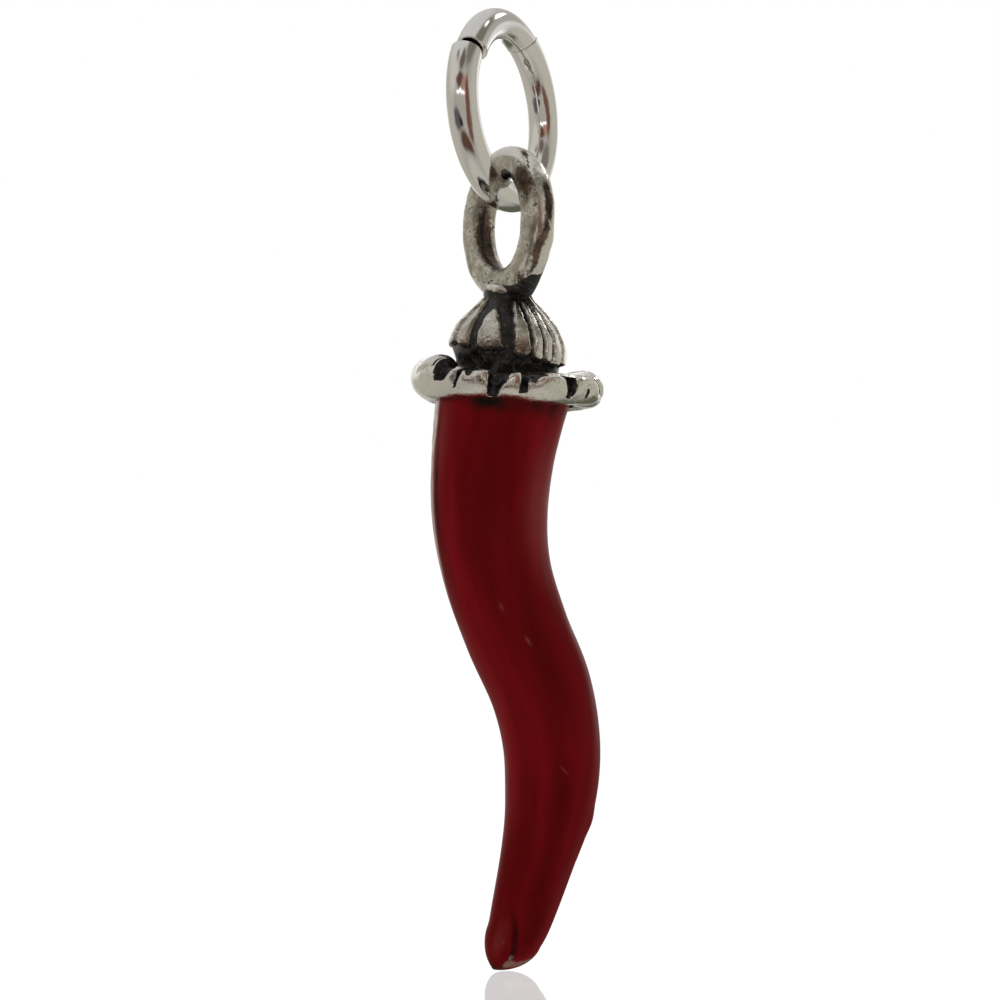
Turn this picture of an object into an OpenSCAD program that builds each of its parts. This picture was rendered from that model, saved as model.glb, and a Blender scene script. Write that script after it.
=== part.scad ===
// Cornicello horn pendant: an open silver jump ring, a cast silver cap with its eyelet, and an
// S-shaped silver horn under red enamel. It is drawn as it hangs. The origin is the inside of the
// jump ring's top, where a chain lies. The horn curves in the XZ plane and the eyelet lies across it.

/* [Jump ring] */
// Inner diameter of the jump ring
ring_id = 5.15; // [4.6:0.05:8]
// Diameter of the jump ring's round wire
ring_wire = 1.2; // [0.8:0.05:1.5]
// Open gap between the two cut ends
ring_gap = 0.1; // [0.05:0.05:0.5]
// Place of the cut, in degrees round from the side limb up toward the top
ring_cut = 147; // [100:1:170]
// Twist of each half of the wire, which sets the cut ends out of line
ring_twist = 0.75; // [0:0.25:3]
// Turn of the jump ring about the upright, from the plane of the horn's curve
ring_turn = 32; // [20:1:45]
// Lean of the jump ring from the upright
ring_lean = 2; // [0:0.5:6]

/* [Eyelet] */
// Inner diameter of the cast eyelet
eye_id = 3.4; // [3:0.05:4.5]
// Diameter of the eyelet's round wire
eye_wire = 1.16; // [0.8:0.02:1.3]
// Clearance between the eyelet and the jump ring that it hangs on
hang_gap = 0.06; // [0.04:0.01:0.2]

/* [Cap] */
// Width of the neck under the eyelet
neck_d = 1.85; // [1.6:0.05:2.3]
// How far the eyelet's wire is sunk in the neck
neck_sink = 0.48; // [0.3:0.01:0.6]
// How far the bell's petals reach out over the collar's inner edge
bell_over = 0.05; // [-0.2:0.05:0.2]
// Height of the neck and the bell together
bell_h = 2.45; // [2:0.05:3.2]
// Depth of the grooves between the bell's petals
petal_relief = 0.2; // [0.05:0.01:0.3]
// Thickness of the rope collar
collar_t = 1.45; // [1.2:0.05:1.7]
// Step out from the horn's edge to the middle of the collar's rope
collar_step = 0.42; // [0.2:0.02:0.55]
// Step from the bell's foot down to the middle of the collar
collar_drop = 1.15; // [1:0.05:1.5]
// How much lower the collar's crests stand at the front than at the left
crest_drop = 0.45; // [0:0.05:0.5]
// Number of slanted lobes round the collar
lobes = 15; // [12:1:18]
// Depth of the notches between the lobes
lobe_relief = 0.36; // [0.1:0.02:0.4]
// Slant of the lobes, in degrees round the collar for each degree over its section
lobe_slant = 0.14; // [0:0.02:0.2]
// Lean of the bell and the collar in the plane of the curve
cap_lean = 5; // [0:0.5:8]

/* [Horn] */
// Length of the horn, measured square to the cap's underside
horn_len = 21.3; // [15:0.1:30]
// Width of the horn under the collar
horn_d = 5; // [4.2:0.05:5.5]
// Side reach of the S-curve
horn_sway = 3.2; // [1:0.1:4.5]
// Thickness of the red enamel
enamel_t = 0.3; // [0.15:0.01:0.5]
// Clearance between the enamel and the silver under it, and under the cap
seat_gap = 0.03; // [0.02:0.01:0.08]

/* [Post] */
// Diameter of the hidden post on the horn's top
post_d = 2.4; // [1.5:0.1:2.8]
// Length of the hidden post
post_len = 1.3; // [0.8:0.1:1.6]
// Clearance round and above the post in its socket
post_gap = 0.04; // [0.03:0.01:0.1]

/* [Hidden] */

ring_r = (ring_id + ring_wire) / 2;
eye_r = (eye_id + eye_wire) / 2;
collar_r = horn_d / 2 + collar_step;
bell_r = collar_r - collar_t / 2 + bell_over;
ring_drop = ring_id + ring_wire / 2;

// Middle of the jump ring's wire at its lowest point, where the pendant hangs
hang_x = ring_drop * sin(ring_lean) * sin(ring_turn);
hang_y = -ring_drop * sin(ring_lean) * cos(ring_turn);
hang_z = -ring_drop * cos(ring_lean);

// Heights below the hanging point
eye_drop = eye_id / 2 - ring_wire / 2 - hang_gap;
neck_drop = eye_drop + eye_id / 2 + eye_wire - neck_sink;
collar_mid = neck_drop + bell_h + collar_drop;

// Angle on the collar's section, below its outermost point, at which it meets the horn
lip = 180 - acos(collar_step / (collar_t / 2));
under_drop = collar_mid + collar_t / 2 * sin(lip);

// Direction that the front faces, round from +X
front = -120;

// How far a cut or a root runs past the face that it starts from
through = 0.5;

// Samples round the cap, 3 degrees apart, and round the horn
cap_sides = 120;
horn_sides = 32;

// Outline of the neck and bell, from the neck's top down. DOWN is a share of bell_h, OUT places the
// radius between the neck's and the bell's, and CUT is a share of petal_relief.
DOWN = 0;
OUT = 1;
CUT = 2;
BELL = [
    [0.00, -0.36, 0.0],
    [0.04, -0.14, 0.0],
    [0.09, 0.00, 0.0],
    [0.13, 0.01, 0.2],
    [0.20, 0.09, 0.6],
    [0.31, 0.26, 0.9],
    [0.45, 0.49, 1.0],
    [0.60, 0.71, 1.0],
    [0.75, 0.88, 1.0],
    [0.88, 0.98, 1.0],
    [0.96, 1.00, 1.0],
    [1.00, 0.95, 0.7],
    [1.02, 0.84, 0.2],
    [1.22, 0.84, 0.0]
];

// Petals of the bell, in degrees to the right of the front. FROM and TO are their edges.
FROM = 0;
TO = 1;
PETALS = [
    [-90, -63], [-60, -48], [-36, -6], [6, 21], [24, 39], [42, 57], [60, 90], [93, 111],
    [117, 138], [141, 162], [168, 189], [192, 213], [219, 237], [240, 267]
];

// Angle of one lobe's crest at the collar's inner top, to the right of the front
lobe_place = 18;

// Share of crest_drop round the collar: its mean, what the front adds and what the right side adds
LOW = [0.35, 0.65, 0.35];

// Angles on the collar's section, from its inner top over the outside down to the lip
SECTION = [145, 122, 100, 78, 56, 34, 12, -10, -34, -60, -88];

// Sections of the horn. DOWN is a share of horn_len, SIDE of horn_sway and WIDE of horn_d.
SIDE = 1;
WIDE = 2;
HORN = [
    [0.00, -0.05, 1.000],
    [0.10, -0.13, 0.920],
    [0.20, -0.11, 0.865],
    [0.30,  0.05, 0.810],
    [0.40,  0.37, 0.785],
    [0.50,  0.76, 0.775],
    [0.60,  0.97, 0.740],
    [0.70,  1.00, 0.680],
    [0.80,  0.89, 0.565],
    [0.90,  0.73, 0.475],
    [0.935, 0.65, 0.430]
];
// Steps between two rows of the horn's table, and rings on its round tip
horn_steps = 3;
tip_rings = 6;
// Reach of the round tip past the last row, its bend to the side, and the power that points it
tip_len = 0.067 * horn_len;
tip_bend = 0.07 * horn_d;
tip_point = 1.5;

// Curve through four neighbouring values, at a share f of the way from b to c
function glide(a, b, c, d, f) =
    b + f * (c - a) / 2 + f * f * (a - 2.5 * b + 2 * c - d / 2)
    + f * f * f * (3 * (b - c) + d - a) / 2;

// One column of a table at the position t, counted in rows
function column(table, t, col) =
    let (last = len(table) - 1, i = min(floor(t), last - 1))
    glide(table[max(i - 1, 0)][col], table[i][col], table[i + 1][col],
          table[min(i + 2, last)][col], t - i);

function clamp01(x) = max(0, min(1, x));
function ease(x) = let (c = clamp01(x)) c * c * (3 - 2 * c);

// Faces of a loft with the given number of rings and sides, closed by its first and last ring
function loft_faces(rings, sides) = concat(
    [[for (i = [sides - 1:-1:0]) i]],
    [for (r = [0:rings - 2], i = [0:sides - 1], half = [0, 1])
        let (j = (i + 1) % sides, a = r * sides, b = a + sides)
        half == 0 ? [a + i, a + j, b + j] : [a + i, b + j, b + i]],
    [[for (i = [0:sides - 1]) (rings - 1) * sides + i]]
);

module loft(rings) {
    points = [for (ring = rings, p = ring) p];
    polyhedron(points = points, faces = loft_faces(len(rings), len(rings[0])));
}

// Height of the petals at an angle round from the front: 0 in a groove, 1 on a crest
function petal_rise(a) =
    max([0, for (p = PETALS, turn = [-360, 0, 360])
        let (share = (a + turn - p[FROM]) / (p[TO] - p[FROM]))
        share < 0 || share > 1 ? 0 : 0.45 + 0.55 * sqrt(1 - pow(2 * share - 1, 2))]);

// Turn of the lobes' crests at the angle phi on the section, from where they stand at its inner top
function slant_turn(phi) = lobe_slant * (phi - SECTION[0]);

// Depth of the notches between the collar's lobes, from 0 on a crest to 1, fading below the outside
function notch(a, phi) =
    pow((1 - cos(lobes * (a - lobe_place))) / 2, 1.3) * ease((phi + 40) / 62);

// How low the crests stand at an angle right of the front: 0 at the left, 1 at the front
function low_share(a) = clamp01(LOW[0] + LOW[1] * cos(a) + LOW[2] * sin(a));

// A ring of the cap: radius by angle, height below the neck's top, and its lean
function cap_ring(radii, down, lean) =
    [for (i = [0:cap_sides - 1])
        let (a = 360 * i / cap_sides, r = radii[i])
        [r * cos(a) * cos(lean), r * sin(a), -down - r * cos(a) * sin(lean)]];

function from_front(i) = 360 * i / cap_sides - front;

function bell_ring(row) =
    let (base = neck_d / 2 + row[OUT] * (bell_r - neck_d / 2))
    cap_ring(
        [for (i = [0:cap_sides - 1])
            base - petal_relief * row[CUT] * (1 - petal_rise(from_front(i)))],
        row[DOWN] * bell_h, cap_lean * ease(row[DOWN]));

// The samples of a collar ring turn with the lobes, so that each crest runs along the loft
function collar_ring(phi) =
    [for (i = [0:cap_sides - 1])
        let (
            a = 360 * i / cap_sides + slant_turn(phi),
            thick = collar_t / 2 - lobe_relief * notch(from_front(i), phi),
            r = collar_r + thick * cos(phi),
            low = phi > 0 ? crest_drop / (collar_t / 2) * low_share(a - front) : 0,
            rise = thick * sin(phi) * (1 - low)
        )
        [r * cos(a) * cos(cap_lean) + rise * sin(cap_lean), r * sin(a),
         rise * cos(cap_lean) - r * cos(a) * sin(cap_lean) - bell_h - collar_drop]];

// Place under the middle of the cap, square to its underside
module under_cap() {
    translate([0, 0, -collar_mid])
    rotate([0, cap_lean, 0])
    translate([0, 0, collar_mid - under_drop])
    children();
}

module at_hang() {
    translate([hang_x, hang_y, hang_z]) children();
}

// One half of the jump ring's wire, from the point opposite the cut, about which it is twisted
module ring_half() {
    gap_angle = ring_gap / (2 * PI * ring_r) * 180;
    translate([ring_r, 0, 0])
    rotate([0, ring_twist, 0])
    translate([-ring_r, 0, 0])
    rotate_extrude(angle = 180 - gap_angle, $fn = 96)
    translate([ring_r, 0])
    circle(d = ring_wire, $fn = 32);
}

module jump_ring() {
    color([0.82, 0.81, 0.79])
    rotate([0, 0, ring_turn])
    rotate([-ring_lean, 0, 0])
    translate([0, 0, -ring_id / 2])
    rotate([90, 0, 0])
    rotate([0, 0, ring_cut - 180])
    union() {
        ring_half();
        mirror([0, 1, 0]) mirror([0, 0, 1]) ring_half();
    }
}

module eyelet() {
    translate([0, 0, -eye_drop])
    rotate([0, 90, 0])
    rotate_extrude($fn = 72)
    translate([eye_r, 0])
    circle(d = eye_wire, $fn = 32);
}

// The fluted bell and the rope collar, as one form round the cap's axis
module bell_and_collar() {
    translate([0, 0, -neck_drop])
    loft(concat(
        [for (row = BELL) bell_ring(row)],
        [for (phi = SECTION) collar_ring(phi)],
        [collar_ring(-lip)]
    ));
}

module cap() {
    color([0.62, 0.61, 0.56])
    at_hang()
    difference() {
        union() {
            eyelet();
            bell_and_collar();
        }
        under_cap()
        translate([0, 0, -through])
        cylinder(d = post_d + 2 * post_gap, h = through + post_len + post_gap, $fn = 64);
    }
}

// Middle of the horn at the position t in its table
function spine(t) =
    [horn_sway * column(HORN, t, SIDE), 0, -seat_gap - horn_len * column(HORN, t, DOWN)];

// Lean of the horn's section at t: square to the curve, and flat under the cap
function spine_lean(t) =
    let (step = 0.05, above = spine(max(t - step, 0)), below = spine(t + step))
    ease(t / 1.5) * atan2(above[0] - below[0], above[2] - below[2]);

function horn_ring(centre, lean, r) =
    [for (i = [0:horn_sides - 1])
        let (a = 360 * i / horn_sides)
        centre + [r * cos(a) * cos(lean), r * sin(a), -r * cos(a) * sin(lean)]];

// Rings of the horn's form, lying a depth inset below the outer surface, from the top to the tip
function horn_rings(inset) =
    let (
        last = len(HORN) - 1,
        tip = spine(last),
        lean = spine_lean(last - 0.05),
        tip_r = HORN[last][WIDE] * horn_d / 2 - inset,
        reach = (tip_len - inset) * [sin(lean), 0, cos(lean)],
        bend = tip_bend * [cos(lean), 0, -sin(lean)]
    )
    concat(
        [for (k = [0:last * horn_steps - 1])
            let (t = k / horn_steps)
            horn_ring(spine(t), spine_lean(t), column(HORN, t, WIDE) * horn_d / 2 - inset)],
        [for (k = [0:tip_rings])
            let (b = 82 * k / tip_rings)
            horn_ring(tip - reach * sin(b) - bend * (1 - cos(b)), lean, tip_r * pow(cos(b), tip_point))]
    );

function reversed(list) = [for (i = [len(list) - 1:-1:0]) list[i]];

module horn_core() {
    color([0.7, 0.69, 0.66])
    at_hang()
    under_cap()
    union() {
        loft(horn_rings(enamel_t + seat_gap));
        translate([0, 0, -seat_gap - through])
        cylinder(d = post_d, h = post_len + seat_gap + through, $fn = 64);
    }
}

module horn_enamel() {
    color([0.45, 0.03, 0.06])
    at_hang()
    under_cap()
    loft(concat(reversed(horn_rings(enamel_t)), horn_rings(0)));
}

jump_ring();
cap();
horn_core();
horn_enamel();
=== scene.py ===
"""Looks of a cornicello horn pendant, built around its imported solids.

The pendant is a silver horn under red enamel, held by a cast silver cap that hangs by its eyelet in an open
jump ring. Sizes are in millimetres and angles in degrees until a mesh is made. The origin is the inside of
the jump ring's top, +Z is up, the horn curves in the XZ plane and the eyelet lies across it. Angles round the
cap and the horn are counted to the right from the front, which is the side that the camera sees.
"""

from __future__ import annotations

import logging
import math
from dataclasses import dataclass, field
from enum import Enum
from typing import Any, NamedTuple

import bpy
import numpy as np
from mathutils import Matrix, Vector


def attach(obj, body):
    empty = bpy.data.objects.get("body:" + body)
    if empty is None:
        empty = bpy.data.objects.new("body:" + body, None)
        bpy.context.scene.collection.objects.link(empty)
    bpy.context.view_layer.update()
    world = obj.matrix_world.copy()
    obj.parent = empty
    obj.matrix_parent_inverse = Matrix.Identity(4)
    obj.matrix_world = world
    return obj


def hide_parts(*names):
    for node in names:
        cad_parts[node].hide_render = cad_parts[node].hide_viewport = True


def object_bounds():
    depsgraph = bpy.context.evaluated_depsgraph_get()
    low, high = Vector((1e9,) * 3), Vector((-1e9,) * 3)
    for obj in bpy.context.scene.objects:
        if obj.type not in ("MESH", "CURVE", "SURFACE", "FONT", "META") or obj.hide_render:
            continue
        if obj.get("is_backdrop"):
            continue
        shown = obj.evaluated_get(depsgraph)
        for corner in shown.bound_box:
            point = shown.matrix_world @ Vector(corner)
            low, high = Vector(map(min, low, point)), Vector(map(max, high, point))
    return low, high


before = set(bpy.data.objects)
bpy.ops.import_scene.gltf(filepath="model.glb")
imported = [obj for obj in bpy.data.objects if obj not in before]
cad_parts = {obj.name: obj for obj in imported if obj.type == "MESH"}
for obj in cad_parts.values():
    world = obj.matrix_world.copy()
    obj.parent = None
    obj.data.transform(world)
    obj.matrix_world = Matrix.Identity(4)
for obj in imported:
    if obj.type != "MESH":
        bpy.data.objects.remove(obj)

LOG = logging.getLogger("pendant")

MM = 0.001

# Sockets of the Mix node when it mixes colours
MIX_A = 6
MIX_B = 7
MIX_OUT = 2

# What can feed a node's input: an output, or a node for its first output
Source = bpy.types.NodeSocket | bpy.types.Node

# Settings that several nodes share
IN_COLOUR = {"data_type": "RGBA"}
SMOOTH = {"interpolation_type": "SMOOTHSTEP"}
TIMES_PLUS = {"operation": "MULTIPLY_ADD"}
LENGTH = {"operation": "LENGTH"}


class Body(Enum):
    """The bodies of the part, as its joint names them."""

    RING = "ring"
    PENDANT = "pendant"


class Slot(Enum):
    """The material slots of the part."""

    POLISHED_SILVER = "polished_silver"
    OXIDISED_SILVER = "oxidised_silver"
    CAST_SILVER = "cast_silver"
    RED_ENAMEL = "red_enamel"


class Spot(NamedTuple):
    """A soft-edged spot on a surface that has two coordinates, which its owner names."""

    first: float
    second: float
    half_first: float
    half_second: float
    slant: float = 0.0
    strength: float = 1.0


class Swell(NamedTuple):
    """Unevenness of a surface: its height, the distance from swell to swell, and what picks the pattern."""

    height: float
    length: float
    seed: int


def linear(code: str) -> tuple[float, float, float, float]:
    """Turns an sRGB hex colour into a linear one.

    Args:
        code: Six hex digits, such as "7A0C10".

    Returns:
        Linear red, green and blue, and an alpha of 1.
    """
    parts = [int(code[i : i + 2], 16) / 255 for i in (0, 2, 4)]
    red, green, blue = [c / 12.92 if c <= 0.04045 else ((c + 0.055) / 1.055) ** 2.4 for c in parts]
    return (red, green, blue, 1.0)


def add_node(
    tree: bpy.types.NodeTree,
    kind: str,
    settings: dict[str, Any] | None = None,
    values: dict[str | int, Any] | None = None,
    links: dict[str | int, Source] | None = None,
) -> bpy.types.Node:
    """Adds a node with its settings, its inputs' values and its links.

    Args:
        tree: The node tree that it goes into.
        kind: The node's type name.
        settings: Properties of the node by name.
        values: Values of inputs by name or number.
        links: What feeds inputs by name or number.

    Returns:
        The new node.
    """
    node = tree.nodes.new(kind)
    for name, value in (settings or {}).items():
        setattr(node, name, value)
    for name, value in (values or {}).items():
        node.inputs[name].default_value = value
    for name, source in (links or {}).items():
        socket = source.outputs[0] if isinstance(source, bpy.types.Node) else source
        tree.links.new(socket, node.inputs[name])
    return node


def new_material(name: str) -> tuple[bpy.types.Material, bpy.types.NodeTree]:
    """Makes an empty node material.

    Args:
        name: The material's name.

    Returns:
        The material and its node tree.
    """
    material = bpy.data.materials.new(name)
    material.use_nodes = True
    material.node_tree.nodes.clear()
    return material, material.node_tree


def end_finish(
    tree: bpy.types.NodeTree,
    height: Source,
    relief: tuple[float, float],
    values: dict[str | int, Any],
    links: dict[str | int, Source],
) -> None:
    """Ends a finish with its surface and its fine relief.

    Args:
        tree: The material's node tree.
        height: Where the relief's height comes from.
        relief: Strength of the relief and its depth in millimetres.
        values: Values of the surface's inputs.
        links: What feeds the surface's other inputs.
    """
    strength, depth = relief
    bump = {"Strength": strength, "Distance": depth * MM}
    links = links | {"Normal": add_node(tree, "ShaderNodeBump", values=bump, links={"Height": height})}
    surface = add_node(tree, "ShaderNodeBsdfPrincipled", values=values, links=links)
    add_node(tree, "ShaderNodeOutputMaterial", links={"Surface": surface})


def per_metre(size_mm: float) -> float:
    """Scale of a pattern whose features are size_mm apart, in a space measured in metres."""
    return 1 / (size_mm * MM)


def ease(x: np.ndarray | float) -> np.ndarray:
    """Goes smoothly from 0 at x = 0 to 1 at x = 1."""
    c = np.clip(x, 0, 1)
    return c * c * (3 - 2 * c)


def rise_between(x: np.ndarray | float, low: float, high: float) -> np.ndarray:
    """Goes smoothly from 0 at low to 1 at high."""
    return ease((np.asarray(x, float) - low) / (high - low))


def least(a: np.ndarray, b: np.ndarray, blend: float) -> np.ndarray:
    """The smaller of two values, rounded off where they are less than blend apart."""
    near = np.clip(0.5 + (b - a) / (2 * blend), 0, 1)
    return b + (a - b) * near - blend * near * (1 - near)


def round_angles(count: int) -> np.ndarray:
    """Angles of points that stand evenly round, in degrees."""
    return np.arange(count) * 360 / count


def cos_sin(degrees: np.ndarray) -> tuple[np.ndarray, np.ndarray]:
    """Cosines and sines of angles in degrees."""
    turns = np.radians(degrees)
    return np.cos(turns), np.sin(turns)


def upward(height: float) -> np.ndarray:
    """A vector straight up."""
    return np.array([0.0, 0.0, height])


def angle_apart(a: np.ndarray | float, b: np.ndarray | float) -> np.ndarray:
    """Angle from b to a, between -180 and 180 degrees."""
    return (np.asarray(a, float) - b + 180) % 360 - 180


def column(table: tuple[tuple[float, ...], ...], t: np.ndarray, col: int) -> np.ndarray:
    """Reads a smooth curve through one column of a table.

    Args:
        table: Rows of numbers, a row for each section.
        t: Places along the table, counted in rows.
        col: Number of the column.

    Returns:
        The column's value at each place.
    """
    values = np.array([row[col] for row in table], float)
    last = len(values) - 1
    i = np.clip(np.floor(t).astype(int), 0, last - 1)
    f = t - i
    a, b = values[np.maximum(i - 1, 0)], values[i]
    c, d = values[i + 1], values[np.minimum(i + 2, last)]
    return b + f * (c - a) / 2 + f**2 * (a - 2.5 * b + 2 * c - d / 2) + f**3 * (3 * (b - c) + d - a) / 2


def round_table(table: tuple[tuple[float, float], ...], angle: np.ndarray) -> np.ndarray:
    """Reads a table of angles and values that goes once round.

    Args:
        table: Rows of an angle and its value, with the angles rising.
        angle: Places in degrees.

    Returns:
        The value at each place, in straight stretches from row to row.
    """
    rows = np.array(table, float)
    return np.interp(angle, rows[:, 0], rows[:, 1], period=360)


def spots(table: tuple[Spot, ...], first: np.ndarray, second: np.ndarray, edge: float = 0.5) -> np.ndarray:
    """Strength of a set of spots. The second coordinate is an angle in degrees.

    Args:
        table: The spots.
        first: First coordinate of each point.
        second: Second coordinate of each point.
        edge: Share of each spot's half width over which it fades.

    Returns:
        The strongest spot's strength at each point.
    """
    total = np.zeros(np.broadcast(first, second).shape)
    for spot in table:
        along = first - spot.first
        across = angle_apart(second, spot.second + spot.slant * along)
        away = np.hypot(along / spot.half_first, across / spot.half_second)
        total = np.maximum(total, spot.strength * (1 - rise_between(away, 1 - edge, 1.0)))
    return total


def uneven(points: np.ndarray, swell: Swell) -> np.ndarray:
    """Slow unevenness of a surface that was cast or worked by hand.

    Args:
        points: Points in millimetres, with x, y and z last.
        swell: The unevenness.

    Returns:
        A height for each point, mostly within the swell's height above or below 0.
    """
    waves = 14
    rng = np.random.default_rng(swell.seed)
    directions = rng.normal(size=(waves, 3))
    directions /= np.linalg.norm(directions, axis=1)[:, None]
    pitch = swell.length * rng.uniform(0.6, 1.6, waves)
    phase = rng.uniform(0, 2 * np.pi, waves)
    turns = points @ (directions / pitch[:, None]).T * 2 * np.pi + phase
    return swell.height * (np.cos(turns).sum(axis=-1) / math.sqrt(waves))


def turned(points: np.ndarray, axis: int, degrees: float) -> np.ndarray:
    """Turns points about a coordinate axis.

    Args:
        points: Points with x, y and z last.
        axis: 0, 1 or 2 for X, Y or Z.
        degrees: Angle, counter-clockwise seen from the axis' tip.

    Returns:
        The turned points.
    """
    i, j = (axis + 1) % 3, (axis + 2) % 3
    c, s = math.cos(math.radians(degrees)), math.sin(math.radians(degrees))
    result = points.copy()
    result[..., i] = points[..., i] * c - points[..., j] * s
    result[..., j] = points[..., i] * s + points[..., j] * c
    return result


@dataclass
class Loft:
    """A skin over rings of points.

    Attributes:
        rings: Points in millimetres, ring by ring, with as many in each.
        fields: Numbers for each point, or three for each, by the name that a material reads them by.
        closed: Whether the last ring joins the first, as in a torus.
    """

    rings: np.ndarray
    fields: dict[str, np.ndarray] = field(default_factory=dict)
    closed: bool = False

    def faces(self, start: int) -> list[tuple[int, ...]]:
        """Faces of the skin, with a fan on a centre point at each open end.

        Args:
            start: Number of the skin's first vertex in the whole mesh.

        Returns:
            Vertex numbers of each face.
        """
        count, sides = self.rings.shape[:2]
        rows = count if self.closed else count - 1
        r, i = np.meshgrid(np.arange(rows), np.arange(sides), indexing="ij")
        below, beside = (r + 1) % count, (i + 1) % sides
        quads = np.stack([r * sides + i, below * sides + i, below * sides + beside, r * sides + beside], -1)
        made = [tuple(q) for q in (quads.reshape(-1, 4) + start).tolist()]
        if not self.closed:
            top, end = start + count * sides, start + (count - 1) * sides
            for k in range(sides):
                n = (k + 1) % sides
                made.append((top, start + k, start + n))
                made.append((top + 1, end + n, end + k))
        return made

    def with_ends(self, grid: np.ndarray) -> np.ndarray:
        """Lays out a grid of values by vertex, with the means of the end rings last if the skin is open."""
        flat = grid.reshape(-1, *grid.shape[2:])
        if self.closed:
            return flat
        return np.concatenate([flat, [grid[0].mean(axis=0)], [grid[-1].mean(axis=0)]])

    def points(self) -> np.ndarray:
        """The skin's vertices."""
        return self.with_ends(self.rings)


def make_piece(name: str, lofts: list[Loft], sharp: float = 60.0) -> bpy.types.Object:
    """Makes one object from several skins, which all have the same fields.

    Args:
        name: The object's name.
        lofts: The skins, in millimetres.
        sharp: Angle between two faces, in degrees, from which their edge stays sharp.

    Returns:
        The object, in metres, linked to the scene.
    """
    vertices, faces, start = [], [], 0
    for loft in lofts:
        vertices.append(loft.points())
        faces += loft.faces(start)
        start += len(vertices[-1])
    mesh = bpy.data.meshes.new(name)
    mesh.from_pydata((np.vstack(vertices) * MM).tolist(), [], faces)
    for key in lofts[0].fields:
        numbers = np.concatenate([loft.with_ends(loft.fields[key]) for loft in lofts])
        is_vector = numbers.ndim == 2
        attribute = mesh.attributes.new(key, "FLOAT_VECTOR" if is_vector else "FLOAT", "POINT")
        attribute.data.foreach_set("vector" if is_vector else "value", numbers.astype(np.float32).ravel())
    mesh.shade_smooth()
    mesh.set_sharp_from_angle(angle=math.radians(sharp))
    piece = bpy.data.objects.new(name, mesh)
    bpy.context.scene.collection.objects.link(piece)
    return piece


def settle(piece: bpy.types.Object, body: Body, node: str, material: bpy.types.Material) -> None:
    """Gives a piece its material, its body and the node that it stands for.

    Args:
        piece: The object.
        body: The body that it moves with.
        node: The node that it replaces.
        material: Its material.
    """
    piece.data.materials.append(material)
    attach(piece, body.value)
    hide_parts(node)


@dataclass(frozen=True)
class PolishedSilver:
    """Sterling silver wire, drawn and then polished: a clear mirror with the finest handling marks.

    One field darkens the wire along the hairline crack.
    """

    silver: str = "F6F5F4"
    warm: str = "ECEAE4"
    crack_dark: str = "4A443E"
    polish: float = 0.07
    worn: float = 0.13
    swirl_mm: float = 1.3
    wave_mm: float = 0.9
    wave_depth_mm: float = 0.006

    def material(self) -> bpy.types.Material:
        """The finish as a node material."""
        material, tree = new_material("polished_sterling_silver_wire")
        place = add_node(tree, "ShaderNodeTexCoord").outputs["Object"]
        # The hand polish leaves the wire faintly wavy, which bends what it mirrors
        patterns = (
            {"Scale": per_metre(self.swirl_mm), "Detail": 4.0, "Roughness": 0.6},
            {"Scale": per_metre(self.wave_mm), "Detail": 1.0},
        )
        swirl, wave = [
            add_node(tree, "ShaderNodeTexNoise", values=pattern, links={"Vector": place})
            for pattern in patterns
        ]
        tones = {MIX_A: linear(self.silver), MIX_B: linear(self.warm)}
        tone = add_node(tree, "ShaderNodeMix", IN_COLOUR, tones, {0: swirl}).outputs[MIX_OUT]
        # Darker along the hairline crack
        crack_dark = add_node(tree, "ShaderNodeAttribute", {"attribute_name": "crack_dark"}).outputs["Fac"]
        crack_darkened = {MIX_B: linear(self.crack_dark)}
        tone = add_node(tree, "ShaderNodeMix", IN_COLOUR, crack_darkened, {0: crack_dark, MIX_A: tone}).outputs[MIX_OUT]
        wear = {"From Min": 0.35, "From Max": 0.75, "To Min": self.polish, "To Max": self.worn}
        rough = add_node(tree, "ShaderNodeMapRange", values=wear, links={"Value": swirl})
        links = {"Base Color": tone, "Roughness": rough}
        end_finish(tree, wave, (1.0, self.wave_depth_mm), {"Metallic": 1.0}, links)
        return material


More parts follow.
